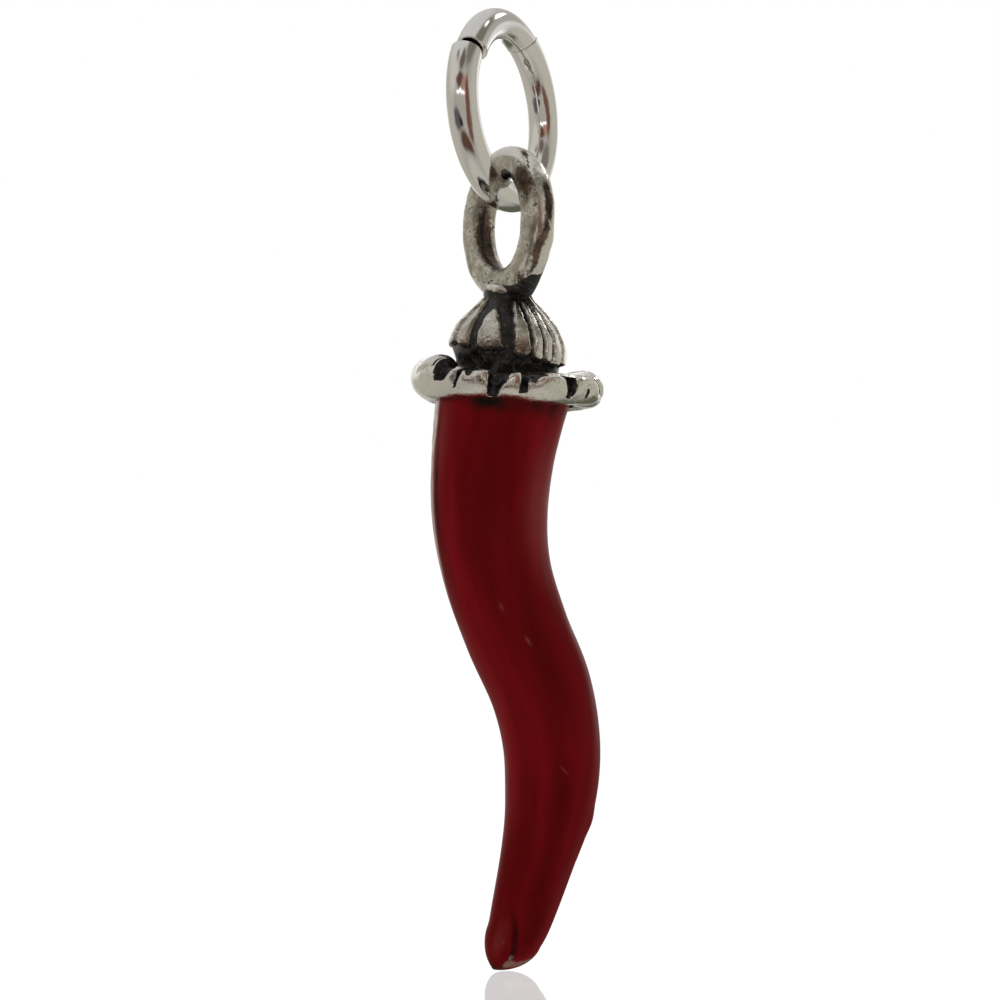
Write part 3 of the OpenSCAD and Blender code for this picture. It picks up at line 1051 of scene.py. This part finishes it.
        # The foot swells where solder fills the corner between the limb and the neck
        foot = rise_between(below, 0.80, 1.0)
        at, half = self.foot_fillet_at
        corner = np.clip(c, 0, 1) * np.exp(-((angle_apart(along, at) / half) ** 2))
        mid = (self.eye_inner_d + self.eye_wire) / 2
        deeper, wider = self.foot_swell
        out = (deep + deeper * foot) * c * square + self.foot_fillet * corner
        side = (wide + wider * foot) * s * square
        points = np.stack([side + 0 * ca, (mid + out) * self.eye_narrow * ca, (mid + out) * sa], axis=-1)
        worn = uneven(points, self.eye_swell) * rise_between(below, -0.75, -0.3)
        points[..., 0] += worn * s
        points[..., 1] += worn * c * ca
        points[..., 2] += worn * c * sa - self.eye_drop
        border = round_table(self.eye_border, along)
        polish = rise_between(section - border, -6, 6) * (1 - rise_between(section, 50, 66))
        # Sulphide fills the corners of the foot, under a slanted line on the near limb
        at, bow, over = self.foot_line
        line = at + bow * (np.clip(-section, 0, 120) / over) ** 2
        corner = rise_between(along - line, -2, 3) * rise_between(section, -118, -100)
        corner = np.maximum(corner, rise_between(section, -98, -86) * rise_between(-along, 76, 82))
        # Stains have no even outline
        drift = along + uneven(points, self.eye_wobble[0]), section + uneven(points, self.eye_wobble[1])
        black = np.maximum(spots(self.eye_black, *drift), corner)
        fields = {
            "oxide": black,
            "rub": polish * (1 - self.eye_foot_dull * foot),
            "stain_and_shade": spots(self.eye_brown, *drift, 0.9),
        }
        return Loft(points + self.hang, {key: grid + 0 * points[..., 0] for key, grid in fields.items()}, True)

    def build(self) -> bpy.types.Object:
        """Builds and dresses the cap."""
        piece = make_piece("cast_cap", [self.body(), self.eyelet()])
        settle(piece, Body.PENDANT, "cap", self.finish.material())
        return piece


@dataclass
class Horn:
    """The horn: a cast silver core and its coat of enamel, both lofted along the same curve."""

    cap: Cap
    length: float = 21.3
    sway: float = 3.2
    enamel_t: float = 0.3
    seat_gap: float = 0.03
    post_d: float = 2.4
    post_len: float = 1.3
    tip_share: float = 0.067
    tip_bend_share: float = 0.07
    tip_point: float = 1.5
    tip_over: float = 86.0
    flat_rows: float = 1.5
    slope_step: float = 0.05
    ripple: Swell = Swell(0.012, 1.1, 13)
    ripple_stretch: tuple[float, float, float] = (1.0, 1.0, 0.3)
    stain_wobble: Swell = Swell(0.25, 0.5, 12)
    worn_depth: float = 0.03
    ripple_from: float = 0.05
    worn_from: float = 0.02
    core_rub: float = 0.4
    around: int = 192
    core_rings: tuple[int, int] = (120, 16)
    inner_rings: tuple[int, int] = (60, 12)
    outer_rings: tuple[int, int] = (300, 40)
    core_finish: OxidisedSilver = OxidisedSilver(name="cast_silver_core", satin="C4BEB0", satin_rough=0.4)
    enamel_finish: RedEnamel = RedEnamel()

    # Sections of the horn: share of the length down, share of the sway, share of the width
    sections: tuple[tuple[float, float, float], ...] = (
        (0.00, -0.05, 1.000), (0.10, -0.13, 0.920), (0.20, -0.11, 0.865), (0.30, 0.05, 0.810),
        (0.40, 0.37, 0.785), (0.50, 0.76, 0.775), (0.60, 0.97, 0.740), (0.70, 1.00, 0.680), (0.80, 0.89, 0.565),
        (0.90, 0.73, 0.475), (0.935, 0.65, 0.430),
    )
    # Spots of the enamel. The first coordinate is the share of the length down, the second is in degrees.
    # Painted shade: a deeper red down the front of the horn, along the tip's crease and on the tip's right side
    deep_shade: tuple[Spot, ...] = (
        Spot(0.16, -2.0, 0.34, 34.0, 0.0, 0.6), Spot(0.44, 24.0, 0.24, 28.0, 0.0, 0.6),
        Spot(0.935, -1.0, 0.060, 14.0, 450.0), Spot(0.70, 12.0, 0.18, 28.0, 0.0, 0.55),
        Spot(0.84, 14.0, 0.18, 34.0, 0.0, 0.5), Spot(0.91, 30.0, 0.09, 30.0, 0.0, 0.6),
    )
    # Dark stains and small marks. The first five spots are painted shade under the cap's lip, and the two that
    # slant with the crease are painted shade in the tip's crease.
    soot_and_shade: tuple[Spot, ...] = (
        Spot(0.012, -14.0, 0.028, 26.0), Spot(0.020, 1.0, 0.020, 12.0, 0.0, 0.8),
        Spot(0.006, -52.0, 0.016, 26.0, 0.0, 0.9), Spot(0.006, 30.0, 0.014, 26.0, 0.0, 0.8),
        Spot(0.010, 46.0, 0.036, 60.0, 0.0, 0.6), Spot(0.15, -61.0, 0.19, 4.5, 0.0, 0.95),
        Spot(0.341, -5.4, 0.010, 1.6, 0.0, 0.5), Spot(0.402, 13.0, 0.012, 1.8, 0.0, 0.5),
        Spot(0.862, 4.0, 0.004, 2.2, 0.0, 0.6), Spot(0.963, 12.0, 0.018, 15.0, 450.0, 0.62),
        Spot(0.945, 6.0, 0.042, 9.0, 450.0, 0.35), Spot(1.0, 0.0, 0.012, 400.0, 0.0, 0.55),
    )
    # Thin or scratched enamel. The first spot is a painted highlight, a lighter band on the upper right, and
    # the sixth is painted light on the tip's left face.
    pale_and_highlight: tuple[Spot, ...] = (
        Spot(0.20, 64.0, 0.19, 40.0, 0.0, 0.5), Spot(0.08, -58.0, 0.12, 20.0, 0.0, 0.25),
        Spot(0.400, 11.0, 0.013, 3.0, 150.0, 0.6), Spot(0.633, 13.0, 0.014, 1.6, 560.0, 0.6),
        Spot(0.338, -4.0, 0.011, 3.0, 0.0, 0.45), Spot(0.95, -30.0, 0.05, 24.0, 0.0, 0.25),
        Spot(0.953, -19.0, 0.006, 4.0, 0.0, 0.6),
    )
    bare: tuple[Spot, ...] = (
        Spot(0.04, -82.0, 0.15, 17.5, 0.0, 0.75), Spot(0.17, -80.0, 0.18, 13.5, 0.0, 0.45),
        Spot(0.972, 15.0, 0.005, 6.0, 0.0, 0.8), Spot(0.984, 28.0, 0.010, 22.0, 0.0, 0.24),
        Spot(0.978, 50.0, 0.011, 16.0, -500.0, 0.24), Spot(0.966, 64.0, 0.009, 9.0, -900.0, 0.2),
    )

    # Dents and bumps of the enamel, with the height as their strength
    dented: tuple[Spot, ...] = (
        Spot(0.955, 8.0, 0.036, 9.0, 450.0, -0.05), Spot(0.72, 82.0, 0.03, 22.0, 0.0, 0.05),
    )

    def spine(self, t: np.ndarray) -> np.ndarray:
        """Middle of the horn at places t, counted in sections."""
        x = self.sway * column(self.sections, t, 1)
        z = -self.seat_gap - self.length * column(self.sections, t, 0)
        return np.stack([x, np.zeros_like(x), z], axis=-1)

    def spine_lean(self, t: np.ndarray) -> np.ndarray:
        """Lean of the horn's sections at places t, flat under the cap, in degrees."""
        step = self.slope_step
        above, below = self.spine(np.maximum(t - step, 0)), self.spine(t + step)
        slope = np.degrees(np.arctan2(above[..., 0] - below[..., 0], above[..., 2] - below[..., 2]))
        return ease(t / self.flat_rows) * slope

    def hung(self, points: np.ndarray) -> np.ndarray:
        """Moves points from under the cap's underside to the part's frame."""
        cap = self.cap
        return turned(points - upward(cap.seat), 1, cap.lean) - upward(cap.collar_mid) + cap.hang

    def stations(self, inset: float, rows: int, tip_rows: int) -> tuple[np.ndarray, ...]:
        """Sections of the horn's form from its top to its tip.

        Args:
            inset: Depth below the outer surface.
            rows: Number of sections along the curve.
            tip_rows: Number of sections on the round tip.

        Returns:
            Middle, lean, radius and share of the length down of each section.
        """
        last = len(self.sections) - 1
        t = np.linspace(0, last, rows, endpoint=False)
        end = np.array([float(last)])
        tip_lean = self.spine_lean(end - self.slope_step)[0]
        c, s = math.cos(math.radians(tip_lean)), math.sin(math.radians(tip_lean))
        over = np.radians(np.linspace(0, self.tip_over, tip_rows))[:, None]
        reach = (self.tip_share * self.length - inset) * np.array([s, 0, c])
        bend = self.tip_bend_share * self.cap.horn_d * np.array([c, 0, -s])
        tip = self.spine(end)[0] - reach * np.sin(over) - bend * (1 - np.cos(over))
        tip_r = (self.sections[-1][2] * self.cap.horn_d / 2 - inset) * np.cos(over[:, 0]) ** self.tip_point
        middle = np.concatenate([self.spine(t), tip])
        lean = np.concatenate([self.spine_lean(t), np.full(tip_rows, tip_lean)])
        radius = np.concatenate([column(self.sections, t, 2) * self.cap.horn_d / 2 - inset, tip_r])
        tip_down = self.sections[-1][0] + self.tip_share * np.sin(over[:, 0])
        down = np.concatenate([column(self.sections, t, 0), tip_down])
        return middle, lean, radius, down

    def skin(self, inset: float, rows: int, tip_rows: int, relief: bool = False) -> Loft:
        """A skin of the horn's form, under the cap's underside.

        Args:
            inset: Depth below the outer surface.
            rows: Number of rings along the curve.
            tip_rows: Number of rings on the round tip.
            relief: Whether it has the uneven surface of the fired enamel.

        Returns:
            The skin with its fields.
        """
        middle, lean, radius, down = self.stations(inset, rows, tip_rows)
        angle = round_angles(self.around)[None, :]
        right = angle_apart(angle, self.cap.front)
        down, radius = down[:, None] + 0 * angle, radius[:, None] + 0 * angle
        c, s = cos_sin(angle)
        straight = np.stack([radius * c, radius * s, -down * self.length], axis=-1)
        fields = {"flow": straight * MM}
        # Tables by field, each with the share of its spots' half width over which they fade
        tables = {
            "deep_shade": (self.deep_shade, 1.0),
            "pale_and_highlight": (self.pale_and_highlight, 1.0),
            "soot_and_shade": (self.soot_and_shade, 0.9),
            "bare": (self.bare, 0.4),
        }
        for key, (table, edge) in tables.items():
            ragged = 1 + uneven(straight, self.stain_wobble) * (key in ("soot_and_shade", "bare"))
            fields[key] = np.clip(spots(table, down, right, edge) * ragged, 0, 1) * relief
        if relief:
            ripples = uneven(straight * self.ripple_stretch, self.ripple)
            radius = radius + ripples * ease(down / self.ripple_from)
            radius = radius - self.worn_depth * fields["bare"] * ease(down / self.worn_from)
            for spot in self.dented:
                radius = radius + spot.strength * spots((spot._replace(strength=1.0),), down, right, 1.0)
        rings = self.cap.leaned(radius, angle, 0 * radius, lean[:, None] + 0 * angle) + middle[:, None, :]
        return Loft(rings, fields)

    def core(self) -> Loft:
        """The silver core with the hidden post on its top."""
        skin = self.skin(self.enamel_t + self.seat_gap, *self.core_rings)
        c, s = cos_sin(round_angles(self.around))
        x, y = c * (self.post_d / 2), s * (self.post_d / 2)
        post = [np.stack([x, y, 0 * x + height], axis=-1) for height in (self.post_len, -self.seat_gap)]
        rings = np.concatenate([np.stack(post), skin.rings])
        level = np.zeros(rings.shape[:2])
        return Loft(self.hung(rings), {"oxide": level, "rub": level + self.core_rub, "stain_and_shade": level})

    def enamel(self) -> Loft:
        """The enamel as a closed shell, from the inside of its tip up and over its rim."""
        inner = self.skin(self.enamel_t, *self.inner_rings)
        outer = self.skin(0.0, *self.outer_rings, relief=True)
        fields = {key: np.concatenate([inner.fields[key][::-1], outer.fields[key]]) for key in outer.fields}
        return Loft(self.hung(np.concatenate([inner.rings[::-1], outer.rings])), fields)

    def build(self) -> list[bpy.types.Object]:
        """Builds and dresses the core and the enamel."""
        core = make_piece("horn_silver_core", [self.core()])
        settle(core, Body.PENDANT, "horn_core", self.core_finish.material())
        enamel = make_piece("horn_red_enamel", [self.enamel()])
        settle(enamel, Body.PENDANT, "horn_enamel", self.enamel_finish.material())
        return [core, enamel]


class Card(NamedTuple):
    """A soft-edged card of the surroundings, as the pendant sees it.

    Azimuths are degrees to the right of the camera, elevations are degrees above level.
    """

    azimuth: float
    half_width: float
    elevation: float
    half_height: float
    colour: str
    strength: float = 1.0


@dataclass
class Studio:
    """Lit white table top, the cards and the dim room that the silver mirrors, and the camera."""

    lowest: float
    view_from: float = -30.0
    camera_away: float = 71.06
    camera_right: float = -0.105
    camera_up: float = -17.1
    focal: float = 68.4
    sensor: float = 36.0
    floor_clear: float = 0.04
    floor_half: float = 3000.0
    floor_glow: float = 1.03
    floor_rough: float = 0.02
    gloss: float = 0.41
    gloss_reach: float = 25.0
    card_edge: float = 0.35
    seam: float = 210.0
    waver: float = 26.0
    white: str = "FFFFFF"
    wall: str = "AAA7A1"
    ceiling: str = "C8C7C5"
    ground: str = "BDB9B0"
    ceiling_from: tuple[float, float] = (42.0, 58.0)
    ground_from: tuple[float, float] = (-52.0, -64.0)
    # Each card lies over those before it
    cards: tuple[Card, ...] = (
        Card(-130, 70, 48, 26, "CBCACA"), Card(-115, 60, -5, 38, "B6B2A8"), Card(92, 38, -12, 40, "B9B7AB"),
        Card(75, 55, 50, 17, "767268"), Card(-2, 22, 50, 12, "6A605A"), Card(-55, 14, 50, 9, "7E7B72"),
        Card(-62, 36, 30, 20, "C9C5BE"), Card(-10, 45, 8, 16, "A9A39C"), Card(-12, 26, 27, 8, "5E4238"),
        Card(20, 20, 21, 8, "A58272"), Card(38, 13, 8, 22, "704E40"), Card(-8, 28, 14.5, 1.8, "FFFFFF", 2.0),
        Card(-45, 24, -14, 12, "5C565A"), Card(-24, 9, -17, 6, "2C2E2C"), Card(-12, 42, -38, 12, "5A4034"),
        Card(30, 12, -12, 16, "6E5044"), Card(177, 46, 9, 17, "FFFFFF", 1.12), Card(163, 30, -27, 16, "5C5E4E"),
        Card(134, 10, 42, 4.5, "FFFFFF", 5.0), Card(106, 6, 54, 4, "FFFFFF", 1.6),
    )

    def level(self, azimuth: float) -> np.ndarray:
        """Level direction at an azimuth to the right of the camera, as the pendant sees it."""
        a = math.radians(self.view_from)
        toward = np.array([math.sin(a), -math.cos(a), 0.0])
        right = np.array([math.cos(a), math.sin(a), 0.0])
        return toward * math.cos(math.radians(azimuth)) + right * math.sin(math.radians(azimuth))

    def camera(self) -> None:
        """Sets the camera, level and square to the view."""
        data = bpy.data.cameras.new("camera")
        data.lens = self.focal
        data.sensor_width = self.sensor
        data.clip_start = MM
        camera = bpy.data.objects.new("camera", data)
        place = self.level(0) * self.camera_away + self.level(90) * self.camera_right
        camera.location = Vector(place * MM) + Vector((0, 0, self.camera_up * MM))
        camera.rotation_mode = "QUATERNION"
        camera.rotation_quaternion = Vector(-self.level(0)).to_track_quat("-Z", "Y")
        bpy.context.scene.collection.objects.link(camera)
        bpy.context.scene.camera = camera

    def floor(self) -> None:
        """Sets the white acrylic table top, lit from below, just under the horn's tip."""
        h = self.floor_half
        mesh = bpy.data.meshes.new("table_top")
        corners = np.array([[-h, -h, 0], [h, -h, 0], [h, h, 0], [-h, h, 0]]) * MM
        mesh.from_pydata(corners.tolist(), [], [(0, 1, 2, 3)])
        floor = bpy.data.objects.new("table_top", mesh)
        floor.location.z = (self.lowest - self.floor_clear) * MM
        bpy.context.scene.collection.objects.link(floor)
        floor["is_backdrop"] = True
        # The silver mirrors the lower cards in its place
        floor.visible_glossy = False
        material, tree = new_material("lit_white_acrylic")
        glow = add_node(tree, "ShaderNodeEmission", values={"Strength": self.floor_glow})
        polish = {"Color": linear(self.white), "Roughness": self.floor_rough}
        shine = add_node(tree, "ShaderNodeBsdfGlossy", values=polish)
        # Farther out from the horn, which hangs over the middle, the table top is matt
        place = add_node(tree, "ShaderNodeTexCoord").outputs["Object"]
        away = add_node(tree, "ShaderNodeVectorMath", LENGTH, links={0: place}).outputs["Value"]
        near = self.gloss_reach * MM
        fade = {"From Min": near, "From Max": 2 * near, "To Min": self.gloss, "To Max": 0.0}
        share = add_node(tree, "ShaderNodeMapRange", SMOOTH, fade, {"Value": away})
        both = add_node(tree, "ShaderNodeMixShader", links={0: share, 1: glow, 2: shine})
        add_node(tree, "ShaderNodeOutputMaterial", links={"Surface": both})
        mesh.materials.append(material)

    def bearings(self, tree: bpy.types.NodeTree) -> tuple[bpy.types.NodeSocket, bpy.types.NodeSocket]:
        """Works out where each direction of the surroundings lies.

        Args:
            tree: The world's node tree.

        Returns:
            A vector of azimuth and elevation in degrees, and the elevation alone.
        """
        way = add_node(tree, "ShaderNodeTexCoord").outputs["Generated"]
        dot = {"operation": "DOT_PRODUCT"}
        shares = [
            add_node(tree, "ShaderNodeVectorMath", dot, {1: tuple(self.level(azimuth))}, {0: way})
            for azimuth in (self.seam - 180, self.seam - 90)
        ]
        along, aside = [share.outputs["Value"] for share in shares]
        up = add_node(tree, "ShaderNodeSeparateXYZ", links={0: way}).outputs[2]
        turn = add_node(tree, "ShaderNodeMath", {"operation": "ARCTAN2"}, links={0: aside, 1: along})
        rise = add_node(tree, "ShaderNodeMath", {"operation": "ARCSINE"}, links={0: up})
        azimuth, elevation = [
            add_node(tree, "ShaderNodeMath", TIMES_PLUS, {1: math.degrees(1), 2: start}, {0: node}).outputs[0]
            for node, start in ((turn, self.seam - 180), (rise, 0.0))
        ]
        return add_node(tree, "ShaderNodeCombineXYZ", links={0: azimuth, 1: elevation}).outputs[0], elevation

    def wavering(self, tree: bpy.types.NodeTree, bearing: bpy.types.NodeSocket) -> bpy.types.Node:
        """Shifts the directions a little, because things in a room have no even outline.

        Args:
            tree: The world's node tree.
            bearing: A vector of azimuth and elevation in degrees.

        Returns:
            The node with the shifted vector.
        """
        way = add_node(tree, "ShaderNodeTexCoord").outputs["Generated"]
        grain = {"Scale": 5.0, "Detail": 3.0}
        noise = add_node(tree, "ShaderNodeTexNoise", values=grain, links={"Vector": way}).outputs[1]
        reach = {1: (self.waver, self.waver / 3, 0), 2: (-self.waver / 2, -self.waver / 6, 0)}
        waver = add_node(tree, "ShaderNodeVectorMath", TIMES_PLUS, reach, {0: noise})
        return add_node(tree, "ShaderNodeVectorMath", {"operation": "ADD"}, links={0: bearing, 1: waver})

    def surroundings(self) -> None:
        """Sets the light: walls, ceiling and ground, with the cards before them."""
        world = bpy.data.worlds.new("tent")
        bpy.context.scene.world = world
        world.use_nodes = True
        tree = world.node_tree
        tree.nodes.clear()
        bearing, elevation = self.bearings(tree)
        bearing = self.wavering(tree, bearing)
        colour = None
        for (start, end), code in ((self.ceiling_from, self.ceiling), (self.ground_from, self.ground)):
            border = {"From Min": start, "From Max": end}
            share = add_node(tree, "ShaderNodeMapRange", SMOOTH, border, {"Value": elevation})
            values = {MIX_A: linear(self.wall), MIX_B: linear(code)}
            links = {0: share} | ({MIX_A: colour} if colour else {})
            colour = add_node(tree, "ShaderNodeMix", IN_COLOUR, values, links).outputs[MIX_OUT]
        fade = {"From Min": 1 - self.card_edge, "From Max": 1 + self.card_edge, "To Min": 1.0, "To Max": 0.0}
        for card in self.cards:
            wide, high = card.half_width, card.half_height
            bright = [part * card.strength for part in linear(card.colour)[:3]]
            # A card that reaches over the seam is laid on both sides of it
            reach = wide * (1 + self.card_edge)
            places = [card.azimuth + turn for turn in (-360, 0, 360)]
            for azimuth in [place for place in places if abs(place - self.seam + 180) < 180 + reach]:
                about = {1: (1 / wide, 1 / high, 0), 2: (-azimuth / wide, -card.elevation / high, 0)}
                away = add_node(tree, "ShaderNodeVectorMath", TIMES_PLUS, about, {0: bearing})
                away = add_node(tree, "ShaderNodeVectorMath", LENGTH, links={0: away})
                inside = add_node(tree, "ShaderNodeMapRange", SMOOTH, fade, {"Value": away.outputs["Value"]})
                values, links = {MIX_B: (*bright, 1.0)}, {0: inside, MIX_A: colour}
                colour = add_node(tree, "ShaderNodeMix", IN_COLOUR, values, links).outputs[MIX_OUT]
        # The backdrop itself is plain white
        path = add_node(tree, "ShaderNodeLightPath").outputs["Is Camera Ray"]
        light = add_node(tree, "ShaderNodeBackground", links={"Color": colour})
        white = add_node(tree, "ShaderNodeBackground", values={"Color": linear(self.white)})
        seen = add_node(tree, "ShaderNodeMixShader", links={0: path, 1: light, 2: white})
        add_node(tree, "ShaderNodeOutputWorld", links={"Surface": seen})

    def build(self) -> None:
        """Builds the floor, the light and the camera."""
        self.camera()
        self.floor()
        self.surroundings()
        settings = bpy.context.scene.view_settings
        settings.view_transform = "Standard"
        settings.look = "None"


def main() -> None:
    """Builds each sub-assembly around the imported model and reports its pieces."""
    logging.basicConfig(level=logging.INFO, format="%(name)s: %(message)s")
    packed_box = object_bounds()
    Studio(lowest=packed_box[0].z / MM).build()
    ring = JumpRing()
    cap = Cap(hang=ring.hang)
    horn = Horn(cap=cap)
    for piece in [ring.build(), cap.build(), *horn.build()]:
        LOG.info("%s: %d faces", piece.name, len(piece.data.polygons))


if __name__ == "__main__":
    main()
